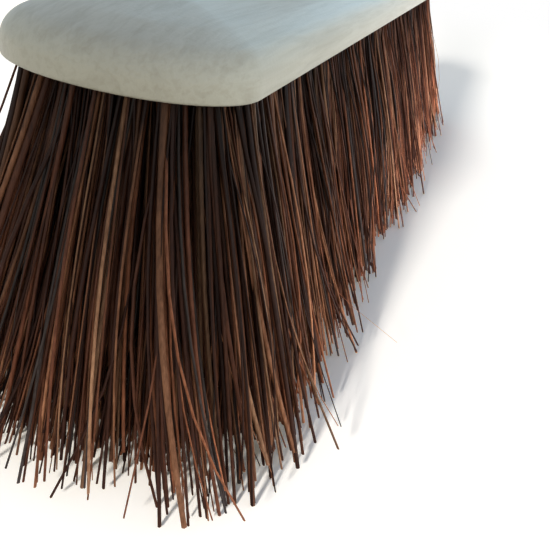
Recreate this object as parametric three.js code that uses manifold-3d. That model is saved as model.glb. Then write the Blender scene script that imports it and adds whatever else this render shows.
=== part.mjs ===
// Wide floor broom: a painted wooden stock with bowed ends, filled with stiff brown fibre,
// and a wooden handle clamped in a slanted steel holder on the crown. Millimetres, +Z up.
// The origin is on the floor under the middle of the stock; X runs along the stock.
import * as THREE from "three";
import { mergeVertices } from "three/addons/utils/BufferGeometryUtils.js";
import Module from "manifold-3d";

// Fits
const seatGap = 0.3;
const cutOverrun = 5;

// Stock
const stockLength = 500;
const stockWidth = 70;
const endBow = 25;
const endBowPower = 2.1;
const bottomEdge = 0.6;
const wallHeight = 4;
const shoulderRadius = 9;
const shoulderSlope = 0.4;
const shoulderSteps = 5;
const archSteps = 4;
const endStretch = 1.3;
const crownWidth = 16;
const saddleWidth = 46;
const endSteps = 20;

// Fibre
const fibreLength = 105;
const fibreSideSplay = 0.284;
const fibreEndSplay = 0.244;
const fibreEndSplayPower = 5;
const fibreCornerEase = 0.4;
const fibreTrim = 0.5;
const fibreUnevenness = 5;
const fibreRows = 7;
const tuftsPerRow = 71;
const tuftMargin = 11.5;
const tuftRootRadius = 2.2;
const tuftTipRadius = 2.8;
const tuftSides = 3;
const sliceThickness = 3;
const sliceRim = 3;
const rowsInMiddleField = 3;

// Handle holder
const plateLength = 84;
const plateWidth = 44;
const plateThickness = 2;
const plateCorner = 8;
const plateCornerSteps = 6;
const handleTilt = THREE.MathUtils.degToRad(30);
const socketLength = 78;
const socketWall = 1.8;
const socketLip = 0.8;
const socketLipHeight = 2.4;
const roundSteps = 32;

// Handle
const handleDiameter = 24;
const handleLength = 1400;
const handleChamfer = 1.5;
const handleDomeSteps = 6;

// Holder screws
const screwEndInset = 11;
const screwSideInset = 9;
const screwShank = 4;
const screwLength = 9;
const screwPoint = 4;
const screwHead = 8;
const screwHeadHeight = 2.4;
const screwHeadSteps = 4;
const screwSlotWidth = 1;
const screwSlotDepth = 1.2;
const screwSteps = 16;

// Clamp
const clampHeight = 50;
const clampThread = 6;
const clampTipChamfer = 1;
const nutAcross = 14;
const nutHeight = 6;
const nutSides = 6;
const hubDiameter = 10;
const hubHeight = 7;
const hubTaper = 1;
const wingSpan = 32;
const wingRise = 12;
const wingEar = 4;
const wingRoot = 6;
const wingThickness = 3;
const wingSteps = 8;

const paintedWood = new THREE.MeshStandardMaterial({ color: 0xb9b9ac, roughness: 0.35, metalness: 0 });
const fibre = new THREE.MeshStandardMaterial({ color: 0x3b2318, roughness: 0.7, metalness: 0 });
const zincSteel = new THREE.MeshStandardMaterial({ color: 0xa9adb0, roughness: 0.4, metalness: 0.9 });
const bareWood = new THREE.MeshStandardMaterial({ color: 0xc79a63, roughness: 0.55, metalness: 0 });

const wasm = await Module();
wasm.setup();

// A closed geometry as a solid for joining and cutting.
function solidOf(geometry) {
  const bare = geometry.clone();
  bare.deleteAttribute("normal");
  bare.deleteAttribute("uv");
  const merged = mergeVertices(bare);
  const triVerts = new Uint32Array(merged.index.array);
  const vertProperties = merged.attributes.position.array;
  return new wasm.Manifold(new wasm.Mesh({ numProp: 3, vertProperties, triVerts }));
}

function meshOf(name, solid, material) {
  const { vertProperties, triVerts } = solid.getMesh();
  const geometry = new THREE.BufferGeometry();
  geometry.setAttribute("position", new THREE.BufferAttribute(vertProperties, 3));
  geometry.setIndex(new THREE.BufferAttribute(triVerts, 1));
  geometry.computeVertexNormals();
  const mesh = new THREE.Mesh(geometry, material);
  mesh.name = name;
  return mesh;
}

// A round bar along +Z between two heights.
function bar(radius, low, high, steps = roundSteps) {
  const geometry = new THREE.CylinderGeometry(radius, radius, high - low, steps);
  geometry.rotateX(Math.PI / 2);
  geometry.translate(0, 0, (low + high) / 2);
  return geometry;
}

// A profile of [radius, height] pairs, from axis to axis, turned round +Z.
function turned(profile, steps) {
  const points = profile.map(([radius, height]) => new THREE.Vector2(radius, height));
  const geometry = new THREE.LatheGeometry(points, steps);
  geometry.rotateX(Math.PI / 2);
  return geometry;
}

// Profile points of a dome, from its rim up to the axis.
function dome(radius, low, rise, steps) {
  return Array.from({ length: steps + 1 }, (_, i) => {
    const angle = (Math.PI / 2) * (i / steps);
    return [radius * Math.cos(angle), low + rise * Math.sin(angle)];
  });
}

// A cross-section in Y and Z, drawn out along X about the middle.
function drawnAlongX(section, length) {
  const shape = new THREE.Shape(section.map(([y, z]) => new THREE.Vector2(y, z)));
  const geometry = new THREE.ExtrudeGeometry(shape, { depth: length, bevelEnabled: false });
  geometry.translate(0, 0, -length / 2);
  geometry.applyMatrix4(new THREE.Matrix4().makeBasis(
    new THREE.Vector3(0, 1, 0), new THREE.Vector3(0, 0, 1), new THREE.Vector3(1, 0, 0)));
  return geometry;
}

// The bow of an end, as a share of its depth, at a share of the way from the middle line to the side.
function bowShare(sideShare) {
  return (1 - Math.min(1, Math.abs(sideShare)) ** endBowPower) ** (1 / endBowPower);
}

// A plan outline of the stock, drawn in by sideInset on the long sides and by endInset at the ends.
// Its bow shrinks with its width, so the corners stay round up to the crown.
function stockOutline(sideInset, endInset) {
  const half = stockWidth / 2 - sideInset;
  const bow = (endBow * half) / (stockWidth / 2);
  const straight = stockLength / 2 - endInset - bow;
  const shares = Array.from({ length: endSteps + 1 }, (_, i) => -Math.cos((Math.PI * i) / endSteps));
  const right = shares.map((share) => [straight + bow * bowShare(share), half * share]);
  return right.concat(right.map(([x, y]) => [-x, -y]));
}

// The shoulder turns from the upright wall to the foot of the arch.
const shoulderTurn = Math.PI / 2 - Math.atan(shoulderSlope);
const archFoot = shoulderRadius * (1 - Math.cos(shoulderTurn));
const archFootHeight = wallHeight + shoulderRadius * Math.sin(shoulderTurn);

// Height of the arched top above the underside, at a distance in from the long side.
function archHeight(inset) {
  const run = inset - archFoot;
  return archFootHeight + shoulderSlope * (run - (run * run) / (stockWidth - 2 * archFoot));
}

// The holder's saddle lies on the crown and on one flat of the arch to each side of it.
const crownInset = (stockWidth - crownWidth) / 2;
const saddleInset = (stockWidth - saddleWidth) / 2;
const crownHeight = archHeight(crownInset);
const upperSlope = (crownHeight - archHeight(saddleInset)) / (crownInset - saddleInset);

// The rings of the stock from the underside to the crown: side inset and height.
function stockRings() {
  const rings = [[bottomEdge, 0], [0, bottomEdge]];
  for (let i = 0; i < shoulderSteps; i++) {
    const turn = shoulderTurn * (i / shoulderSteps);
    rings.push([shoulderRadius * (1 - Math.cos(turn)), wallHeight + shoulderRadius * Math.sin(turn)]);
  }
  for (let i = 0; i <= archSteps; i++) {
    const inset = archFoot + (saddleInset - archFoot) * (i / archSteps);
    rings.push([inset, archHeight(inset)]);
  }
  rings.push([crownInset, crownHeight]);
  return rings;
}

// A solid skinned over level rings of equal point count, closed by a flat cap at each end.
function loft(rings) {
  const count = rings[0].length;
  const positions = rings.flat(2);
  const faces = [];
  for (let r = 0; r + 1 < rings.length; r++) {
    for (let i = 0; i < count; i++) {
      const a = r * count + i;
      const b = r * count + ((i + 1) % count);
      faces.push(a, b, b + count, a, b + count, a + count);
    }
  }
  const flat = (ring) => ring.map(([x, y]) => new THREE.Vector2(x, y));
  const last = (rings.length - 1) * count;
  for (const [a, b, c] of THREE.ShapeUtils.triangulateShape(flat(rings[0]), [])) faces.push(a, c, b);
  for (const [a, b, c] of THREE.ShapeUtils.triangulateShape(flat(rings.at(-1)), [])) {
    faces.push(last + a, last + b, last + c);
  }
  const geometry = new THREE.BufferGeometry();
  geometry.setAttribute("position", new THREE.Float32BufferAttribute(positions, 3));
  geometry.setIndex(faces);
  return geometry;
}

// The stock's plan outline, drawn in evenly, as a slab between two heights.
function outlineSlab(inset, low, high) {
  const outline = stockOutline(inset, inset);
  return loft([low, high].map((z) => outline.map(([x, y]) => [x, y, z])));
}

const undersideZ = fibreLength;
const crownZ = undersideZ + crownHeight;

// The four places of the holder's screws, each with the tilt of the slope it stands on.
const screwX = plateLength / 2 - screwEndInset;
const screwY = plateWidth / 2 - screwSideInset;
const screwZ = crownZ - upperSlope * (screwY - crownWidth / 2) + seatGap + plateThickness;
const screwPlaces = [-1, 1].flatMap((end) => [-1, 1].map((side) => ({
  position: new THREE.Vector3(end * screwX, side * screwY, screwZ),
  tilt: -side * Math.atan(upperSlope),
})));

// A geometry along +Z, moved to a screw's place.
function atScrew(geometry, place) {
  geometry.applyMatrix4(new THREE.Matrix4().makeRotationX(place.tilt));
  geometry.translate(place.position.x, place.position.y, place.position.z);
  return geometry;
}

function makeStock() {
  const rings = stockRings().map(([inset, height]) =>
    stockOutline(inset, inset * endStretch).map(([x, y]) => [x, y, undersideZ + height]));
  const pocketTop = undersideZ + sliceThickness + seatGap;
  let solid = solidOf(loft(rings));
  solid = solid.subtract(solidOf(outlineSlab(sliceRim, undersideZ - cutOverrun, pocketTop)));
  for (const place of screwPlaces) {
    const pilot = bar(screwShank / 2 + seatGap, -screwLength - seatGap, cutOverrun, screwSteps);
    solid = solid.subtract(solidOf(atScrew(pilot, place)));
  }
  return meshOf("stock", solid, paintedWood);
}

// A share from 0 to 1 that wanders evenly in golden steps and is 0 at the middle tuft.
const goldenShare = (Math.sqrt(5) - 1) / 2;
function wander(index) {
  const step = index * goldenShare;
  return step - Math.floor(step);
}

// Root and tip of one tuft: rows splay to the sides, and the last tufts of a row splay endwise,
// less so in the outer rows, which rounds the field's corners.
const middleRow = (fibreRows - 1) / 2;
const middlePlace = (tuftsPerRow - 1) / 2;
function tuft(row, place) {
  const rowShare = (row - middleRow) / middleRow;
  const placeShare = (place - middlePlace) / middlePlace;
  const y = rowShare * (stockWidth / 2 - tuftMargin);
  const bow = endBow * bowShare(y / (stockWidth / 2));
  const x = placeShare * (stockLength / 2 - endBow - tuftMargin + bow);
  const index = (row - middleRow) * tuftsPerRow + place - middlePlace;
  const tipZ = fibreUnevenness * wander(index) - fibreTrim;
  const fall = undersideZ - tipZ;
  const cornerShare = 1 - fibreCornerEase * rowShare ** 2;
  const endShare = Math.sign(placeShare) * Math.abs(placeShare) ** fibreEndSplayPower;
  const endLean = fibreEndSplay * endShare * cornerShare;
  const sideLean = fibreSideSplay * rowShare;
  const root = [x, y, undersideZ + sliceThickness / 2];
  const tip = [x + fall * endLean, y + fall * sideLean, tipZ];
  return { root, tip, turn: index };
}

// One level ring of a tuft's outline.
function tuftRing([x, y, z], radius, turn) {
  return Array.from({ length: tuftSides }, (_, i) => {
    const angle = turn + (2 * Math.PI * i) / tuftSides;
    return [x + radius * Math.cos(angle), y + radius * Math.sin(angle), z];
  });
}

function makeTufts(firstRow, lastRow) {
  const solids = [];
  for (let row = firstRow; row <= lastRow; row++) {
    for (let place = 0; place < tuftsPerRow; place++) {
      const { root, tip, turn } = tuft(row, place);
      const rings = [tuftRing(tip, tuftTipRadius, turn), tuftRing(root, tuftRootRadius, turn)];
      solids.push(solidOf(loft(rings)));
    }
  }
  return solids;
}

// A field of tufts standing on its slice of the stock's drilled face, cut level at the floor.
function makeFibreField(name, firstRow, lastRow) {
  const rowPitch = (stockWidth - 2 * tuftMargin) / (fibreRows - 1);
  const edge = (row, step) => (row - middleRow + step / 2) * rowPitch;
  const low = firstRow === 0 ? -stockWidth : edge(firstRow, -1) + seatGap / 2;
  const high = lastRow === fibreRows - 1 ? stockWidth : edge(lastRow, 1) - seatGap / 2;
  const top = undersideZ + sliceThickness;
  const strip = new THREE.BoxGeometry(2 * stockLength, high - low, 2 * top);
  strip.translate(0, (low + high) / 2, 0);
  const floor = new THREE.BoxGeometry(2 * stockLength, 2 * stockLength, cutOverrun);
  floor.translate(0, 0, -cutOverrun / 2);
  let solid = solidOf(outlineSlab(sliceRim + seatGap, undersideZ, top)).intersect(solidOf(strip));
  for (const tuftSolid of makeTufts(firstRow, lastRow)) solid = solid.add(tuftSolid);
  return meshOf(name, solid.subtract(solidOf(floor)), fibre);
}

// The line of the crown and its two slopes across the stock, at a height above them.
function saddleLine(reach, lift) {
  const drop = upperSlope * (reach - crownWidth / 2);
  const z = crownZ + lift;
  return [[-reach, z - drop], [-crownWidth / 2, z], [crownWidth / 2, z], [reach, z - drop]];
}

// The space under the saddle line, as wide as reach.
function underSaddle(reach, lift) {
  const floor = crownZ - stockWidth;
  const line = saddleLine(reach, lift);
  return drawnAlongX([[-reach, floor], [reach, floor], ...line.reverse()], stockLength);
}

// The socket's frame: its origin on top of the plate, +Z up the handle, -Y towards the clamp.
const socketBase = crownZ + seatGap + plateThickness;
const boreRadius = handleDiameter / 2 + seatGap;
const socketRadius = boreRadius + socketWall;
const handleFoot = boreRadius * Math.tan(handleTilt) + seatGap;

function inSocketFrame(geometry) {
  geometry.rotateX(-handleTilt);
  geometry.translate(0, 0, socketBase);
  return geometry;
}

// A bar along -Y at the clamp's height, between two distances from the socket's axis.
function clampBar(radius, near, far, steps) {
  const geometry = bar(radius, near, far, steps);
  geometry.rotateX(Math.PI / 2);
  geometry.translate(0, 0, clampHeight);
  return geometry;
}

// The plate's plan: a rectangle with round corners, cut from a taller block.
function platePlan() {
  const [x, y] = [plateLength / 2, plateWidth / 2];
  const shape = new THREE.Shape();
  shape.absarc(x - plateCorner, y - plateCorner, plateCorner, 0, Math.PI / 2);
  shape.absarc(plateCorner - x, y - plateCorner, plateCorner, Math.PI / 2, Math.PI);
  shape.absarc(plateCorner - x, plateCorner - y, plateCorner, Math.PI, 1.5 * Math.PI);
  shape.absarc(x - plateCorner, plateCorner - y, plateCorner, 1.5 * Math.PI, 2 * Math.PI);
  const settings = { depth: stockWidth, bevelEnabled: false, curveSegments: plateCornerSteps };
  const geometry = new THREE.ExtrudeGeometry(shape, settings);
  geometry.translate(0, 0, crownZ - stockWidth / 2);
  return geometry;
}

// Pressed saddle plate and slanted tube socket in one piece, with a rolled lip at the mouth.
function makeHolder() {
  const top = saddleLine(plateWidth, seatGap + plateThickness);
  const bottom = saddleLine(plateWidth, seatGap).reverse();
  let solid = solidOf(drawnAlongX([...bottom, ...top], stockLength)).intersect(solidOf(platePlan()));
  const tubeLow = -2 * socketRadius;
  const lipLow = socketLength - socketLipHeight;
  let tube = solidOf(inSocketFrame(bar(socketRadius, tubeLow, socketLength)));
  tube = tube.add(solidOf(inSocketFrame(bar(socketRadius + socketLip, lipLow, socketLength))));
  tube = tube.subtract(solidOf(underSaddle(stockWidth, seatGap + plateThickness / 2)));
  let bore = solidOf(inSocketFrame(bar(boreRadius, tubeLow, socketLength + cutOverrun)));
  bore = bore.subtract(solidOf(underSaddle(stockWidth, seatGap + plateThickness)));
  solid = solid.add(tube).subtract(bore);
  const clampHole = clampBar(clampThread / 2 + seatGap, 0, socketRadius + cutOverrun, screwSteps);
  solid = solid.subtract(solidOf(inSocketFrame(clampHole)));
  for (const place of screwPlaces) {
    const hole = bar(screwShank / 2 + seatGap, -cutOverrun, cutOverrun, screwSteps);
    solid = solid.subtract(solidOf(atScrew(hole, place)));
  }
  return meshOf("handle_holder", solid, zincSteel);
}

// A round-headed wood screw with a pointed shank and a driver slot.
function makeScrew(name, place) {
  const shank = screwShank / 2;
  const profile = [
    [0, -screwLength],
    [shank, screwPoint - screwLength],
    [shank, seatGap],
    ...dome(screwHead / 2, seatGap, screwHeadHeight, screwHeadSteps),
  ];
  const slot = new THREE.BoxGeometry(screwHead + cutOverrun, screwSlotWidth, 2 * screwSlotDepth);
  slot.translate(0, 0, seatGap + screwHeadHeight);
  const solid = solidOf(turned(profile, screwSteps)).subtract(solidOf(slot));
  const mesh = meshOf(name, solid, zincSteel);
  mesh.position.copy(place.position);
  mesh.rotation.x = place.tilt;
  return mesh;
}

// Hexagon nut welded on the socket, hollowed to lie on its round wall.
function makeClampNut() {
  const corner = nutAcross / 2 / Math.cos(Math.PI / nutSides);
  const top = socketRadius + nutHeight;
  let solid = solidOf(clampBar(corner, boreRadius, top, nutSides));
  solid = solid.subtract(solidOf(bar(socketRadius + seatGap, 0, socketLength)));
  const hole = clampBar(clampThread / 2 + seatGap, 0, top + cutOverrun, screwSteps);
  return meshOf("clamp_nut", solid.subtract(solidOf(hole)), zincSteel);
}

// One wing's outline in the plane of the screw's axis: a rounded ear that rises off the hub.
function wingOutline() {
  const shape = new THREE.Shape();
  shape.moveTo(0, 0);
  shape.lineTo(hubDiameter / 2 - hubTaper, 0);
  shape.absarc(wingSpan / 2 - wingEar, wingRise - wingEar, wingEar, -Math.PI / 4, (3 * Math.PI) / 4);
  shape.lineTo(0, wingRoot);
  return shape;
}

// Wing screw that bites on the handle; its axis lies along -Y of the socket's frame.
function makeWingScrew() {
  const [thread, hub] = [clampThread / 2, hubDiameter / 2];
  const tip = handleDiameter / 2 + seatGap;
  const hubLow = socketRadius + nutHeight + seatGap;
  const hubHigh = hubLow + hubHeight;
  const profile = [
    [0, tip],
    [thread - clampTipChamfer, tip],
    [thread, tip + clampTipChamfer],
    [thread, hubLow],
    [hub, hubLow],
    [hub - hubTaper, hubHigh],
    [0, hubHigh],
  ];
  const settings = { depth: wingThickness, bevelEnabled: false, curveSegments: wingSteps };
  let solid = solidOf(turned(profile, screwSteps));
  for (const turn of [0, Math.PI]) {
    const wing = new THREE.ExtrudeGeometry(wingOutline(), settings);
    wing.translate(0, 0, -wingThickness / 2);
    wing.rotateX(Math.PI / 2);
    wing.rotateZ(turn);
    wing.translate(0, 0, hubLow);
    solid = solid.add(solidOf(wing));
  }
  const mesh = meshOf("wing_screw", solid, zincSteel);
  mesh.rotation.x = Math.PI / 2;
  mesh.position.z = clampHeight;
  return mesh;
}

// Round wooden handle with a chamfered foot and a domed top.
function makeHandle() {
  const radius = handleDiameter / 2;
  const domeLow = handleFoot + handleLength - radius;
  const profile = [
    [0, handleFoot],
    [radius - handleChamfer, handleFoot],
    [radius, handleFoot + handleChamfer],
    ...dome(radius, domeLow, radius, handleDomeSteps),
  ];
  return meshOf("handle", solidOf(turned(profile, roundSteps)), bareWood);
}

function makeBroom() {
  const broom = new THREE.Group();
  const sideRows = (fibreRows - rowsInMiddleField) / 2;
  broom.add(makeStock());
  broom.add(makeFibreField("fibre_field_front", 0, sideRows - 1));
  broom.add(makeFibreField("fibre_field_middle", sideRows, fibreRows - sideRows - 1));
  broom.add(makeFibreField("fibre_field_back", fibreRows - sideRows, fibreRows - 1));
  broom.add(makeHolder());
  screwPlaces.forEach((place, i) => broom.add(makeScrew(`holder_screw_${i + 1}`, place)));
  const socket = new THREE.Group();
  socket.position.z = socketBase;
  socket.rotation.x = -handleTilt;
  socket.add(makeClampNut(), makeWingScrew(), makeHandle());
  broom.add(socket);
  return broom;
}

export default makeBroom();
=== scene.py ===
# Wide floor broom, dressed for the close view of one end of its head. Metres, in the CAD model's frame.
import math
import random

import bmesh
import bpy
from mathutils import Matrix, Vector


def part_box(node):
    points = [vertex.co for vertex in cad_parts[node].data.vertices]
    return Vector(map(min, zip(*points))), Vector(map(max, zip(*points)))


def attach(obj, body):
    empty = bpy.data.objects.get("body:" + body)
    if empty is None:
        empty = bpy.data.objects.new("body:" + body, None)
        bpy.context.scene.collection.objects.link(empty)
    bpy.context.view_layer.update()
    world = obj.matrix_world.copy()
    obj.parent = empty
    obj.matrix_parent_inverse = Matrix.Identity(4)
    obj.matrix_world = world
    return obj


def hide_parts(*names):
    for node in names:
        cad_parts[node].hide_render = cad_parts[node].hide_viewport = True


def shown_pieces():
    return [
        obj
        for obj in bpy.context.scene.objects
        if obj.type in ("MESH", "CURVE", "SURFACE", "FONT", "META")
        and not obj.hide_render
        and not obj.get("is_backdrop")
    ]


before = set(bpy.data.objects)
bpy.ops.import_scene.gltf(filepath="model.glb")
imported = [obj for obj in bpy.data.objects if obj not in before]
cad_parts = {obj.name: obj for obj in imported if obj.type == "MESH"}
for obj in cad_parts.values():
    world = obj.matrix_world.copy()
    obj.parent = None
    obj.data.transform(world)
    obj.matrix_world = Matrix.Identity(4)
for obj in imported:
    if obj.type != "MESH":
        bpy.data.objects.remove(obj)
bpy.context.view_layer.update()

# Stock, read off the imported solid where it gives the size
stock_low, stock_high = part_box("stock")
stock_length = stock_high.x - stock_low.x
stock_width = stock_high.y - stock_low.y
underside = stock_low.z
crown_height = stock_high.z - stock_low.z
end_bow = 0.025
end_bow_power = 2.1
end_stretch = 1.3
end_steps = 72
long_steps = 45
bottom_edge = 0.0008
bottom_edge_steps = 4
wall_height = 0.004
shoulder_radius = 0.009
shoulder_slope = 0.4
shoulder_steps = 14
crown_width = 0.016
saddle_width = 0.046
arch_steps = 30
cap_width = 0.002

# Stock: what follows from those sizes
shoulder_turn = math.pi / 2 - math.atan(shoulder_slope)
arch_foot = shoulder_radius * (1 - math.cos(shoulder_turn))
arch_foot_height = wall_height + shoulder_radius * math.sin(shoulder_turn)
crown_inset = (stock_width - crown_width) / 2
saddle_inset = (stock_width - saddle_width) / 2
cap_inset = (stock_width - cap_width) / 2

# Fibre: the field of tufts
fibre_rows = 7
front_rows = 2
tufts_per_row = 62
strands_per_tuft = 34
tuft_margin = 0.0115
tuft_radius = 0.0036
tuft_fan = 1.2
tuft_sway = 0.0016
tuft_drift = 0.0026
tuft_trim_spread = 0.0028
tuft_shade_spread = 0.22
side_splay = 0.284
end_splay = 0.244
end_splay_power = 5
corner_ease = 0.4
fibre_seed = 7

# Fibre: one strand
strand_half_width = 0.00051
strand_width_spread = 0.34
strand_widest = 0.00105
strand_narrowest = 0.0002
strand_flatness = (0.55, 0.95)
strand_tip_share = 0.76
strand_sides = 5
strand_steps = 7
curl_power = 4
strand_sink = 0.0015
strand_bend = 0.0013
strand_drift = 0.0034
strand_curl = 0.0016
# Painted shade along each strand: dark at the root, where the strands and the stock shade each other,
# rising to light at the tip, partly from wear
strand_root_painted_shade = 0.19
strand_tip_shade = 1.45
painted_shade_power = 1.25
strand_shade_spread = 0.24
tip_height = 0.0045
tip_height_spread = 0.0034
tip_height_most = 0.024
tip_floor_gap = 0.0002
stray_share = 0.085
stray_bend = 0.005
stray_drift = 0.0072
stray_curl = 0.005
wisp_share = 0.008
wisp_half_width = 0.00016
wisp_bend = 0.007
wisp_curl = 0.009
offset_limit = 2.0

# Fibre: the strands' browns, each with its share of the strands
fibre_palette = (
    ((0.060, 0.0220, 0.0140), 0.27),
    ((0.150, 0.0540, 0.0300), 0.28),
    ((0.080, 0.0600, 0.0560), 0.04),
    ((0.320, 0.1200, 0.0620), 0.19),
    ((0.410, 0.1850, 0.1020), 0.16),
    ((0.430, 0.2300, 0.1350), 0.06),
)

# A strand's share of its cell in the baking map: a long strip, and its cut end above the strip
strip_margin = 0.1
strip_foot = 0.05
strip_reach = 0.8
cell_middle = 0.5
cut_end_place = 0.93
cut_end_width = 0.3
cut_end_height = 0.04

# Handle
handle_tilt = math.radians(30)
handle_low, handle_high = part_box("handle")
handle_radius = (handle_high.x - handle_low.x) / 2
handle_length = 1.4
handle_chamfer = 0.0015
handle_sides = 72
handle_steps = 40
handle_dome_steps = 10

# Steel pieces
holder_screws = 4
steel_nodes = ["handle_holder", "clamp_nut", "wing_screw"]
steel_nodes += [f"holder_screw_{i + 1}" for i in range(holder_screws)]
steel_edge = 0.0003
steel_edge_steps = 2
sharp_angle = math.radians(40)

# Materials: values that several share
white = (1.0, 1.0, 1.0)
opaque = 1.0
ramp_end = 1.0
even_scale = (1, 1, 1)

# Paint: pale and cloudy, worn along the grain, grimy in long ripples, with a fine peel
paint_grain_scale = (0.05, 1, 1)
paint_ripple_scale = (0.10, 1, 1)
paint_cloud = {"scale": 40, "detail": 4}
paint_grain = {"scale": 700, "detail": 5, "distortion": 0.4}
paint_ripple = {"scale": 220, "detail": 3, "distortion": 0.6}
paint_peel = {"scale": 900, "detail": 2}
paint_tones = ((0.3, (0.375, 0.362, 0.308)), (0.7, (0.405, 0.395, 0.340)))
paint_wear_tones = ((0.35, (0.80, 0.78, 0.74)), (0.55, white))
paint_wear_share = 0.4
paint_grime_tones = ((0.36, (0.84, 0.83, 0.81)), (0.50, white))
paint_grime_share = 0.5
paint_roughness = (0.38, 0.50)
paint_grain_bump = {"distance": 0.0003, "strength": 0.45}
paint_ripple_bump = {"distance": 0.0006, "strength": 0.4}
paint_peel_bump = {"distance": 0.0002, "strength": 0.25}
paint_specular = 0.4

# Plant fibre: each strand's own brown, darkened towards its root as painted shade, with fine streaks
# along it and darker knots
fibre_streak_scale = (1, 1, 0.04)
fibre_knot_scale = (1, 1, 0.3)
fibre_streaks = {"scale": 1500, "detail": 3}
fibre_knots = {"scale": 260, "detail": 3}
fibre_streak_tones = ((0.3, (0.55, 0.50, 0.46)), (0.7, white))
fibre_streak_share = 1.0
fibre_knot_tones = ((0.35, (0.60, 0.56, 0.54)), (0.65, white))
fibre_knot_share = 0.8
fibre_roughness = (0.40, 0.62)
fibre_bump = {"distance": 0.0002, "strength": 0.4}
fibre_specular = 0.14

# Zinc steel: spangled, dull in patches, finely scratched
steel_spangle_scale = 220
steel_scratch_scale = (0.08, 1, 1)
steel_cloud = {"scale": 90, "detail": 4}
steel_scratches = {"scale": 1800, "detail": 2}
steel_spangle_tones = ((0.0, (0.50, 0.52, 0.54)), (1.0, (0.70, 0.71, 0.72)))
steel_dull_tones = ((0.35, (0.78, 0.77, 0.74)), (0.65, white))
steel_dull_share = 0.7
steel_roughness = (0.26, 0.46)
steel_bump = {"distance": 0.0001, "strength": 0.15}
steel_metallic = 1.0

# Handle wood: rings and pores along the handle, with a slow change of shade
wood_turn = (handle_tilt, 0, 0)
wood_pore_scale = (1, 1, 0.03)
wood_ring_scale = (1, 1, 0.12)
wood_rings = {"Scale": 70, "Distortion": 6, "Detail": 3}
wood_pores = {"scale": 1600, "detail": 4}
wood_cloud = {"scale": 30, "detail": 3}
wood_ring_tones = ((0.1, (0.62, 0.42, 0.22)), (0.9, (0.45, 0.27, 0.12)))
wood_pore_tones = ((0.36, (0.55, 0.48, 0.42)), (0.52, white))
wood_pore_share = 0.6
wood_cloud_tones = ((0.3, (0.85, 0.82, 0.78)), (0.7, white))
wood_cloud_share = 1.0
wood_roughness = (0.38, 0.55)
wood_bump = {"distance": 0.0002, "strength": 0.3}

# Floor and sky
floor_reach = 6.0
floor_drop = 0.0002
floor_fade_start = 0.65
floor_fade_end = 1.5
floor_bounce = (0.31, 0.27, 0.225)
floor_seen = (1.23, 1.145, 1.02)
ground_light = (0.30, 0.27, 0.23)
horizon_light = (1.90, 1.85, 1.48)
zenith_light = (0.10, 0.19, 0.40)
straight_down = -1.0
sky_stops = (
    (0.49, ground_light),
    (0.50, horizon_light),
    (0.66, horizon_light),
    (0.80, zenith_light),
)
background_mirrored = (0.80, 0.93, 1.0)
background_strength = 1.0

# Lamps
broom_middle = (-0.10, 0.0, 0.05)
far_fibre = (0.20, -0.05, 0.05)
wide_spread = math.radians(180)
narrow_spread = math.radians(30)
lamps = {
    "behind": {
        "place": (-9.70, 1.54, 3.25),
        "target": broom_middle,
        "spread": wide_spread,
        "size": 1.2,
        "power": 1750.0,
        "colour": white,
    },
    "near right": {
        "place": (-0.35, -1.05, 0.38),
        "target": broom_middle,
        "spread": wide_spread,
        "size": 0.6,
        "power": 1.3,
        "colour": (1.0, 0.83, 0.75),
    },
    "right": {
        "place": (0.05, -1.10, 0.20),
        "target": broom_middle,
        "spread": wide_spread,
        "size": 0.6,
        "power": 5.0,
        "colour": (0.78, 0.92, 1.0),
    },
    "far end": {
        "place": (-0.55, -0.80, 0.28),
        "target": far_fibre,
        "spread": narrow_spread,
        "size": 0.3,
        "power": 0.55,
        "colour": (0.87, 0.87, 1.0),
    },
    "ahead": {
        "place": (0.90, 0.20, 0.42),
        "target": broom_middle,
        "spread": wide_spread,
        "size": 0.8,
        "power": 2.2,
        "colour": (0.35, 0.72, 1.0),
    },
}
floor_lamps = ("behind",)
mirrored_lamps = ("ahead",)

# Camera
camera_place = Vector((-0.3878, -0.0834, 0.1478))
camera_pitch = math.radians(28.0)
camera_yaw = math.radians(12.92)
camera_roll = math.radians(10.02)
camera_lens = 44.88
camera_sensor = 36.0
camera_nearest = 0.01


# Small helpers for making node materials
def new_material(name):
    material = bpy.data.materials.new(name)
    material.use_nodes = True
    tree = material.node_tree
    shader = tree.nodes["Principled BSDF"]
    return material, tree, shader


def add_node(tree, kind, **settings):
    made = tree.nodes.new(kind)
    for name, value in settings.items():
        setattr(made, name, value)
    return made


def join(tree, source, target):
    tree.links.new(source, target)


# The object's own coordinates, turned first and then scaled
def object_mapping(tree, scale, turn=(0, 0, 0)):
    place = add_node(tree, "ShaderNodeTexCoord")
    turned = add_node(tree, "ShaderNodeMapping")
    turned.inputs["Rotation"].default_value = turn
    scaled = add_node(tree, "ShaderNodeMapping")
    scaled.inputs["Scale"].default_value = scale
    join(tree, place.outputs["Object"], turned.inputs["Vector"])
    join(tree, turned.outputs["Vector"], scaled.inputs["Vector"])
    return scaled.outputs["Vector"]


def noise(tree, vector, scale, detail, distortion=0.0):
    made = add_node(tree, "ShaderNodeTexNoise")
    made.inputs["Scale"].default_value = scale
    made.inputs["Detail"].default_value = detail
    made.inputs["Distortion"].default_value = distortion
    join(tree, vector, made.inputs["Vector"])
    return made.outputs["Fac"]


def ramp(tree, factor, *stops):
    made = add_node(tree, "ShaderNodeValToRGB")
    elements = made.color_ramp.elements
    while len(elements) < len(stops):
        elements.new(ramp_end)
    for element, (place, colour) in zip(elements, stops):
        element.position = place
        element.color = (*colour, opaque)
    join(tree, factor, made.inputs["Fac"])
    return made.outputs["Color"]


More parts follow.
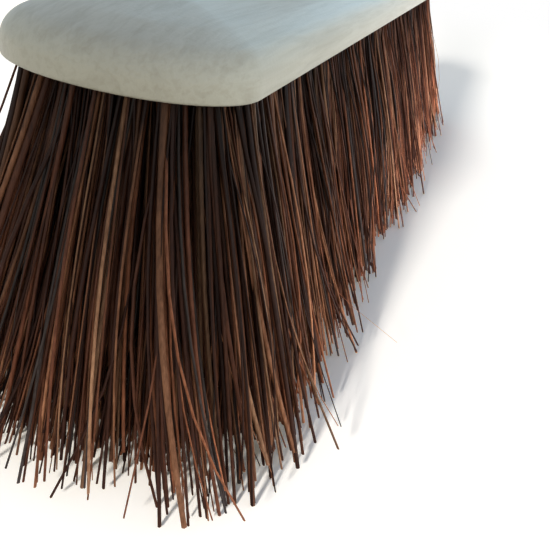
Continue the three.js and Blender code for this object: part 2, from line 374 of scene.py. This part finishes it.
def blend_colour(tree, factor, first, second, way="MIX"):
    made = add_node(tree, "ShaderNodeMix", data_type="RGBA", blend_type=way)
    for socket, value in (("Factor", factor), ("A", first), ("B", second)):
        target = next(s for s in made.inputs if s.name == socket and s.enabled)
        if isinstance(value, bpy.types.NodeSocket):
            join(tree, value, target)
        elif socket == "Factor":
            target.default_value = value
        else:
            target.default_value = (*value, opaque)
    return next(s for s in made.outputs if s.name == "Result" and s.enabled)


def spread(tree, factor, low, high):
    made = add_node(tree, "ShaderNodeMapRange")
    made.inputs["To Min"].default_value = low
    made.inputs["To Max"].default_value = high
    join(tree, factor, made.inputs["Value"])
    return made.outputs["Result"]


def bump(tree, height, distance, strength, below=None):
    made = add_node(tree, "ShaderNodeBump")
    made.inputs["Strength"].default_value = strength
    made.inputs["Distance"].default_value = distance
    join(tree, height, made.inputs["Height"])
    if below is not None:
        join(tree, below, made.inputs["Normal"])
    return made.outputs["Normal"]


def combine(tree, way, first, second):
    made = add_node(tree, "ShaderNodeMath", operation=way)
    join(tree, first, made.inputs[0])
    join(tree, second, made.inputs[1])
    return made.outputs["Value"]


# 1 for what is mirrored in a glossy surface or seen through glass, and 0 for all other light
def seen_in_gloss(tree):
    rays = add_node(tree, "ShaderNodeLightPath").outputs
    return combine(tree, "MAXIMUM", rays["Is Glossy Ray"], rays["Is Transmission Ray"])


# 1 for what the camera sees itself
def seen_directly(tree):
    return add_node(tree, "ShaderNodeLightPath").outputs["Is Camera Ray"]


# Materials
def make_paint():
    material, tree, shader = new_material("painted wood")
    even = object_mapping(tree, even_scale)
    cloud = noise(tree, even, **paint_cloud)
    grain = noise(tree, object_mapping(tree, paint_grain_scale), **paint_grain)
    ripple = noise(tree, object_mapping(tree, paint_ripple_scale), **paint_ripple)
    peel = noise(tree, even, **paint_peel)
    pale = ramp(tree, cloud, *paint_tones)
    worn = ramp(tree, grain, *paint_wear_tones)
    grimy = ramp(tree, ripple, *paint_grime_tones)
    painted = blend_colour(tree, paint_wear_share, pale, worn, "MULTIPLY")
    used = blend_colour(tree, paint_grime_share, painted, grimy, "MULTIPLY")
    grained = bump(tree, grain, **paint_grain_bump)
    rippled = bump(tree, ripple, **paint_ripple_bump, below=grained)
    peeled = bump(tree, peel, **paint_peel_bump, below=rippled)
    join(tree, used, shader.inputs["Base Color"])
    join(tree, spread(tree, cloud, *paint_roughness), shader.inputs["Roughness"])
    join(tree, peeled, shader.inputs["Normal"])
    shader.inputs["Specular IOR Level"].default_value = paint_specular
    return material


def make_fibre():
    material, tree, shader = new_material("plant fibre")
    # The tint holds each strand's brown together with the painted shade along it
    tint_and_painted_shade = add_node(tree, "ShaderNodeVertexColor", layer_name="tint_and_painted_shade")
    streaks = noise(tree, object_mapping(tree, fibre_streak_scale), **fibre_streaks)
    knots = noise(tree, object_mapping(tree, fibre_knot_scale), **fibre_knots)
    streaked = ramp(tree, streaks, *fibre_streak_tones)
    knotted = ramp(tree, knots, *fibre_knot_tones)
    base = blend_colour(tree, fibre_streak_share, tint_and_painted_shade.outputs["Color"], streaked, "MULTIPLY")
    brown = blend_colour(tree, fibre_knot_share, base, knotted, "MULTIPLY")
    join(tree, brown, shader.inputs["Base Color"])
    join(tree, spread(tree, streaks, *fibre_roughness), shader.inputs["Roughness"])
    join(tree, bump(tree, streaks, **fibre_bump), shader.inputs["Normal"])
    shader.inputs["Specular IOR Level"].default_value = fibre_specular
    return material


def make_steel():
    material, tree, shader = new_material("zinc steel")
    even = object_mapping(tree, even_scale)
    cells = add_node(tree, "ShaderNodeTexVoronoi")
    cells.inputs["Scale"].default_value = steel_spangle_scale
    join(tree, even, cells.inputs["Vector"])
    cloud = noise(tree, even, **steel_cloud)
    scratches = noise(tree, object_mapping(tree, steel_scratch_scale), **steel_scratches)
    spangle = ramp(tree, cells.outputs["Color"], *steel_spangle_tones)
    dull = ramp(tree, cloud, *steel_dull_tones)
    zinc = blend_colour(tree, steel_dull_share, spangle, dull, "MULTIPLY")
    join(tree, zinc, shader.inputs["Base Color"])
    join(tree, spread(tree, cloud, *steel_roughness), shader.inputs["Roughness"])
    join(tree, bump(tree, scratches, **steel_bump), shader.inputs["Normal"])
    shader.inputs["Metallic"].default_value = steel_metallic
    return material


def make_handle_wood():
    material, tree, shader = new_material("handle wood")
    along = object_mapping(tree, wood_pore_scale, wood_turn)
    slow = object_mapping(tree, wood_ring_scale, wood_turn)
    rings = add_node(tree, "ShaderNodeTexWave", wave_type="BANDS", bands_direction="X")
    for name, value in wood_rings.items():
        rings.inputs[name].default_value = value
    join(tree, slow, rings.inputs["Vector"])
    pores = noise(tree, along, **wood_pores)
    cloud = noise(tree, slow, **wood_cloud)
    ringed = ramp(tree, rings.outputs["Fac"], *wood_ring_tones)
    dark = ramp(tree, pores, *wood_pore_tones)
    shade = ramp(tree, cloud, *wood_cloud_tones)
    grained = blend_colour(tree, wood_pore_share, ringed, dark, "MULTIPLY")
    shaded = blend_colour(tree, wood_cloud_share, grained, shade, "MULTIPLY")
    join(tree, shaded, shader.inputs["Base Color"])
    join(tree, spread(tree, pores, *wood_roughness), shader.inputs["Roughness"])
    join(tree, bump(tree, pores, **wood_bump), shader.inputs["Normal"])
    return material


# 0 near the broom, rising to 1 farther off
def far_share(tree):
    place = add_node(tree, "ShaderNodeTexCoord")
    distance = add_node(tree, "ShaderNodeVectorMath", operation="LENGTH")
    join(tree, place.outputs["Object"], distance.inputs[0])
    fade = add_node(tree, "ShaderNodeMapRange", interpolation_type="SMOOTHSTEP")
    fade.inputs["From Min"].default_value = floor_fade_start
    fade.inputs["From Max"].default_value = floor_fade_end
    join(tree, distance.outputs["Value"], fade.inputs["Value"])
    return fade.outputs["Result"]


# Takes the broom's shadow near by, and is plain white to the camera farther off
def make_floor_white():
    material, tree, shader = new_material("studio floor")
    seen = seen_directly(tree)
    mirrored = blend_colour(tree, seen_in_gloss(tree), floor_bounce, floor_seen)
    near = add_node(tree, "ShaderNodeBsdfDiffuse")
    join(tree, blend_colour(tree, seen, mirrored, floor_seen), near.inputs["Color"])
    far = add_node(tree, "ShaderNodeEmission")
    far.inputs["Color"].default_value = (*white, opaque)
    mix = add_node(tree, "ShaderNodeMixShader")
    join(tree, combine(tree, "MULTIPLY", seen, far_share(tree)), mix.inputs["Fac"])
    join(tree, near.outputs["BSDF"], mix.inputs[1])
    join(tree, far.outputs["Emission"], mix.inputs[2])
    join(tree, mix.outputs["Shader"], tree.nodes["Material Output"].inputs["Surface"])
    tree.nodes.remove(shader)
    return material


# Small helpers for making meshes
def skin(build, rings):
    count = len(rings[0])
    for low, high in zip(rings, rings[1:]):
        for i in range(count):
            j = (i + 1) % count
            build.faces.new((low[i], low[j], high[j], high[i]))


def to_mesh(build, name):
    mesh = bpy.data.meshes.new(name)
    build.to_mesh(mesh)
    build.free()
    return mesh


# Smooth shading that stops at sharp edges
def shade_smooth(mesh):
    mesh.shade_smooth()
    mesh.set_sharp_from_angle(angle=sharp_angle)


# Adds a finished mesh to the scene as a piece of the object
def add_piece(name, mesh, material, body):
    piece = bpy.data.objects.new(name, mesh)
    bpy.context.scene.collection.objects.link(piece)
    mesh.materials.append(material)
    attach(piece, body)
    return piece


# Stock: the bow of an end as a share of its depth, at a share of the way out to the side
def bow_share(side_share):
    return (1 - min(1.0, abs(side_share)) ** end_bow_power) ** (1 / end_bow_power)


# One plan outline, drawn in by side_inset on the long sides and by end_inset at the ends
def stock_outline(side_inset, end_inset):
    half = stock_width / 2 - side_inset
    bow = end_bow * half / (stock_width / 2)
    straight = stock_length / 2 - end_inset - bow
    ends = []
    for i in range(end_steps + 1):
        share = -math.cos(math.pi * i / end_steps)
        ends.append((straight + bow * bow_share(share), half * share))
    side = [(straight * (1 - 2 * i / long_steps), half) for i in range(1, long_steps)]
    half_turn = ends + side
    return half_turn + [(-x, -y) for x, y in half_turn]


def arch_height(inset):
    run = inset - arch_foot
    return arch_foot_height + shoulder_slope * (run - run * run / (stock_width - 2 * arch_foot))


# Height of the top at a side inset: arch, then the saddle's flat, then the level crown
def top_height(inset):
    if inset >= crown_inset:
        return crown_height
    if inset <= saddle_inset:
        return arch_height(inset)
    share = (inset - saddle_inset) / (crown_inset - saddle_inset)
    return arch_height(saddle_inset) * (1 - share) + crown_height * share


# Side inset and height of each ring, from the underside up to the crown
def stock_rings():
    rings = []
    for i in range(bottom_edge_steps + 1):
        turn = math.pi / 2 * i / bottom_edge_steps
        rings.append((bottom_edge * (1 - math.sin(turn)), bottom_edge * (1 - math.cos(turn))))
    for i in range(shoulder_steps):
        turn = shoulder_turn * i / shoulder_steps
        inset = shoulder_radius * (1 - math.cos(turn))
        rings.append((inset, wall_height + shoulder_radius * math.sin(turn)))
    for i in range(arch_steps + 1):
        inset = arch_foot + (cap_inset - arch_foot) * i / arch_steps
        rings.append((inset, top_height(inset)))
    return rings


def make_stock(material):
    build = bmesh.new()
    rings = []
    for inset, height in stock_rings():
        outline = stock_outline(inset, inset * end_stretch)
        rings.append([build.verts.new((x, y, underside + height)) for x, y in outline])
    skin(build, rings)
    build.faces.new(list(reversed(rings[0])))
    build.faces.new(rings[-1])
    mesh = to_mesh(build, "stock_wood")
    shade_smooth(mesh)
    piece = add_piece("stock_wood", mesh, material, "head")
    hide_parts("stock")


# Fibre
def strand_colour(dice, tuft_shade):
    colours = [colour for colour, share in fibre_palette]
    shares = [share for colour, share in fibre_palette]
    colour = dice.choices(colours, shares)[0]
    shade = tuft_shade * dice.lognormvariate(0, strand_shade_spread)
    return Vector(colour) * shade


# How light a strand is at a share of the way from its root to its tip: painted shade, darkest at the
# root where the dense strands and the stock shade each other, and partly wear, lightest at the tip
def painted_shade_along(share):
    rise = strand_tip_shade - strand_root_painted_shade
    return strand_root_painted_shade + rise * share ** painted_shade_power


# A level offset, spread evenly in all directions and never far beyond its usual size
def level_offset(dice, size):
    most = offset_limit * size
    x = min(most, max(-most, dice.gauss(0, size)))
    y = min(most, max(-most, dice.gauss(0, size)))
    return Vector((x, y, 0))


# What the strands of one tuft share: root, lean, drift of the tips, sway, height of the cut and shade
def make_tuft(dice, row, place):
    middle_row = (fibre_rows - 1) / 2
    middle_place = (tufts_per_row - 1) / 2
    row_share = (row - middle_row) / middle_row
    place_share = (place - middle_place) / middle_place
    y = row_share * (stock_width / 2 - tuft_margin)
    bow = end_bow * bow_share(y / (stock_width / 2))
    x = place_share * (stock_length / 2 - end_bow - tuft_margin + bow)
    end_lean = end_splay * math.copysign(abs(place_share) ** end_splay_power, place_share)
    end_lean *= 1 - corner_ease * row_share ** 2
    return {
        "root": Vector((x, y, underside)),
        "lean": Vector((end_lean, side_splay * row_share, -1)),
        "drift": level_offset(dice, tuft_drift),
        "sway": level_offset(dice, tuft_sway),
        "trim": tip_height + dice.gauss(0, tuft_trim_spread),
        "shade": dice.lognormvariate(0, tuft_shade_spread),
    }


# Half a strand's width, its bend, its tip's drift and its curl: most are plain, a few stray or wispy
def strand_habit(dice):
    width = strand_half_width * dice.lognormvariate(0, strand_width_spread)
    width = min(strand_widest, max(strand_narrowest, width))
    kind = dice.random()
    if kind < wisp_share:
        return wisp_half_width, wisp_bend, stray_drift, wisp_curl
    if kind < wisp_share + stray_share:
        return width, stray_bend, stray_drift, stray_curl
    return width, strand_bend, strand_drift, strand_curl


# The points that one strand follows from its root in the wood to its tip
def strand_path(dice, tuft, bend, drift, curl):
    angle = dice.uniform(0, 2 * math.pi)
    reach = tuft_radius * math.sqrt(dice.random())
    offset = Vector((reach * math.cos(angle), reach * math.sin(angle), 0))
    tip_z = min(tip_height_most, max(tip_floor_gap, dice.gauss(tuft["trim"], tip_height_spread)))
    start = tuft["root"] + offset
    run = tuft["lean"] * (underside - tip_z) + offset * tuft_fan + tuft["drift"]
    run += level_offset(dice, drift)
    sway = tuft["sway"] + level_offset(dice, bend)
    hook = level_offset(dice, curl)
    points = [start + Vector((0, 0, strand_sink))]
    for i in range(1, strand_steps + 1):
        share = i / strand_steps
        bent = sway * math.sin(math.pi * share)
        points.append(start + run * share + bent + hook * share ** curl_power)
    return points


# The rings of points round a strand, which is flat in section and narrows to its tip
def strand_rings(build, dice, points, half_width):
    flatness = dice.uniform(*strand_flatness)
    twist = dice.uniform(0, math.pi)
    wide = Vector((math.cos(twist), math.sin(twist), 0))
    thin = Vector((-math.sin(twist), math.cos(twist), 0)) * flatness
    rings = []
    for i, point in enumerate(points):
        size = half_width * (1 - (1 - strand_tip_share) * i / strand_steps)
        ring = []
        for side in range(strand_sides):
            angle = 2 * math.pi * side / strand_sides
            out = wide * math.cos(angle) + thin * math.sin(angle)
            ring.append(build.verts.new(point + out * size))
        rings.append(ring)
    return rings


# Skins one strand, with its colour along its length, darkened towards the root as painted shade, and
# its own cell of the baking map
def add_strand(build, layers, rings, colour, cell, cells):
    tint_and_painted_shade, strip = layers
    left, low = cell % cells, cell // cells
    for i in range(strand_steps):
        upper, lower = rings[i], rings[i + 1]
        for side in range(strand_sides):
            other = (side + 1) % strand_sides
            face = build.faces.new((upper[other], upper[side], lower[side], lower[other]))
            face.smooth = True
            corners = ((side + 1, i), (side, i), (side, i + 1), (side + 1, i + 1))
            for loop, (across, down) in zip(face.loops, corners):
                share = down / strand_steps
                loop[tint_and_painted_shade] = (*(colour * painted_shade_along(share)), opaque)
                u = strip_margin + (1 - 2 * strip_margin) * across / strand_sides
                v = strip_foot + strip_reach * share
                loop[strip].uv = ((left + u) / cells, (low + v) / cells)
    end = build.faces.new(rings[-1])
    for side, loop in enumerate(end.loops):
        angle = 2 * math.pi * side / strand_sides
        loop[tint_and_painted_shade] = (*(colour * strand_tip_shade), opaque)
        u = cell_middle + cut_end_width * math.cos(angle)
        v = cut_end_place + cut_end_height * math.sin(angle)
        loop[strip].uv = ((left + u) / cells, (low + v) / cells)


def make_fibre_row(material, row, node, dice):
    build = bmesh.new()
    layers = (build.loops.layers.float_color.new("tint_and_painted_shade"), build.loops.layers.uv.new("OFBake"))
    cells = math.ceil(math.sqrt(tufts_per_row * strands_per_tuft))
    for place in range(tufts_per_row):
        tuft = make_tuft(dice, row, place)
        for strand in range(strands_per_tuft):
            half_width, *habit = strand_habit(dice)
            points = strand_path(dice, tuft, *habit)
            rings = strand_rings(build, dice, points, half_width)
            colour = strand_colour(dice, tuft["shade"])
            add_strand(build, layers, rings, colour, place * strands_per_tuft + strand, cells)
    name = f"fibre_row_{row + 1}"
    piece = add_piece(name, to_mesh(build, name), material, "head")
    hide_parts(node)


def make_all_fibre(material):
    dice = random.Random(fibre_seed)
    for row in range(fibre_rows):
        node = "fibre_field_middle"
        if row < front_rows:
            node = "fibre_field_front"
        if row >= fibre_rows - front_rows:
            node = "fibre_field_back"
        make_fibre_row(material, row, node, dice)


# Handle: the middle of its foot, found from the solid's box
def handle_foot():
    y = handle_low.y + handle_radius * math.cos(handle_tilt) - handle_chamfer * math.sin(handle_tilt)
    z = handle_low.z + (handle_radius - handle_chamfer) * math.sin(handle_tilt)
    return Vector((0, y, z))


# Radius and height of each ring, from the foot up to the dome
def handle_profile():
    profile = [(handle_radius - handle_chamfer, 0), (handle_radius, handle_chamfer)]
    straight = handle_length - handle_radius - handle_chamfer
    for i in range(1, handle_steps):
        profile.append((handle_radius, handle_chamfer + straight * i / handle_steps))
    for i in range(handle_dome_steps):
        turn = math.pi / 2 * i / handle_dome_steps
        height = handle_length - handle_radius + handle_radius * math.sin(turn)
        profile.append((handle_radius * math.cos(turn), height))
    return profile


def make_handle(material):
    along = Vector((0, math.sin(handle_tilt), math.cos(handle_tilt)))
    across = Vector((1, 0, 0))
    depth = along.cross(across)
    foot = handle_foot()
    build = bmesh.new()
    rings = []
    for radius, height in handle_profile():
        ring = []
        for side in range(handle_sides):
            turn = 2 * math.pi * side / handle_sides
            out = across * math.cos(turn) + depth * math.sin(turn)
            ring.append(build.verts.new(foot + along * height + out * radius))
        rings.append(ring)
    skin(build, rings)
    top = build.verts.new(foot + along * handle_length)
    for i in range(handle_sides):
        build.faces.new((rings[-1][i], rings[-1][(i + 1) % handle_sides], top))
    build.faces.new(rings[0])
    bmesh.ops.recalc_face_normals(build, faces=build.faces)
    mesh = to_mesh(build, "handle_stick")
    shade_smooth(mesh)
    piece = add_piece("handle_stick", mesh, material, "handle_body")
    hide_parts("handle")


# The steel pieces keep their solids, with their edges eased
def dress_steel(material):
    for name in steel_nodes:
        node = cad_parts[name]
        node.data.materials.clear()
        node.data.materials.append(material)
        ease = node.modifiers.new("eased edges", "BEVEL")
        ease.width = steel_edge
        ease.segments = steel_edge_steps
        ease.limit_method = "ANGLE"
        ease.angle_limit = sharp_angle
        ease.harden_normals = True


# Camera, light and floor
def make_camera():
    forward = Vector((
        math.cos(camera_yaw) * math.cos(camera_pitch),
        math.sin(camera_yaw) * math.cos(camera_pitch),
        -math.sin(camera_pitch),
    ))
    level = Vector((math.sin(camera_yaw), -math.cos(camera_yaw), 0))
    above = level.cross(forward)
    right = level * math.cos(camera_roll) + above * math.sin(camera_roll)
    up = above * math.cos(camera_roll) - level * math.sin(camera_roll)
    turn = Matrix((right, up, -forward)).transposed()
    data = bpy.data.cameras.new("camera")
    data.lens = camera_lens
    data.sensor_width = camera_sensor
    data.clip_start = camera_nearest
    camera = bpy.data.objects.new("camera", data)
    camera.matrix_world = Matrix.Translation(camera_place) @ turn.to_4x4()
    bpy.context.scene.collection.objects.link(camera)
    bpy.context.scene.camera = camera


def make_floor(material):
    build = bmesh.new()
    corners = [(-1, -1), (1, -1), (1, 1), (-1, 1)]
    build.faces.new([build.verts.new((x * floor_reach, y * floor_reach, 0)) for x, y in corners])
    mesh = to_mesh(build, "floor")
    mesh.materials.append(material)
    floor = bpy.data.objects.new("floor", mesh)
    floor.location.z = -floor_drop
    bpy.context.scene.collection.objects.link(floor)
    floor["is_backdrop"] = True


# One lamp casts the broom's shadow on the floor, and the others light the broom alone
def choose_lit(light):
    if light.name in floor_lamps:
        pieces = [bpy.data.objects["floor"]]
    else:
        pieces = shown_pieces()
    lit = bpy.data.collections.new("lit by " + light.name)
    for piece in pieces:
        lit.objects.link(piece)
    light.light_linking.receiver_collection = lit


def make_lamp(name, lamp):
    data = bpy.data.lights.new(name, "AREA")
    data.shape = "DISK"
    data.size = lamp["size"]
    data.spread = lamp["spread"]
    data.energy = lamp["power"]
    data.color = lamp["colour"]
    place = Vector(lamp["place"])
    light = bpy.data.objects.new(name, data)
    light.location = place
    light.visible_glossy = name in mirrored_lamps
    light.rotation_euler = (Vector(lamp["target"]) - place).to_track_quat("-Z", "Y").to_euler()
    bpy.context.scene.collection.objects.link(light)
    choose_lit(light)


# A soft sky above a warmer ground, and white where it is seen
def make_sky():
    world = bpy.data.worlds.new("studio sky")
    world.use_nodes = True
    bpy.context.scene.world = world
    tree = world.node_tree
    place = add_node(tree, "ShaderNodeTexCoord")
    split = add_node(tree, "ShaderNodeSeparateXYZ")
    join(tree, place.outputs["Generated"], split.inputs["Vector"])
    height = add_node(tree, "ShaderNodeMapRange")
    height.inputs["From Min"].default_value = straight_down
    join(tree, split.outputs["Z"], height.inputs["Value"])
    sky = ramp(tree, height.outputs["Result"], *sky_stops)
    mirrored = blend_colour(tree, seen_in_gloss(tree), sky, background_mirrored)
    seen = blend_colour(tree, seen_directly(tree), mirrored, white)
    background = tree.nodes["Background"]
    background.inputs["Strength"].default_value = background_strength
    join(tree, seen, background.inputs["Color"])


make_stock(make_paint())
make_all_fibre(make_fibre())
make_handle(make_handle_wood())
dress_steel(make_steel())
make_camera()
make_floor(make_floor_white())
make_sky()
for lamp_name, lamp in lamps.items():
    make_lamp(lamp_name, lamp)
bpy.context.scene.view_settings.view_transform = "Standard"
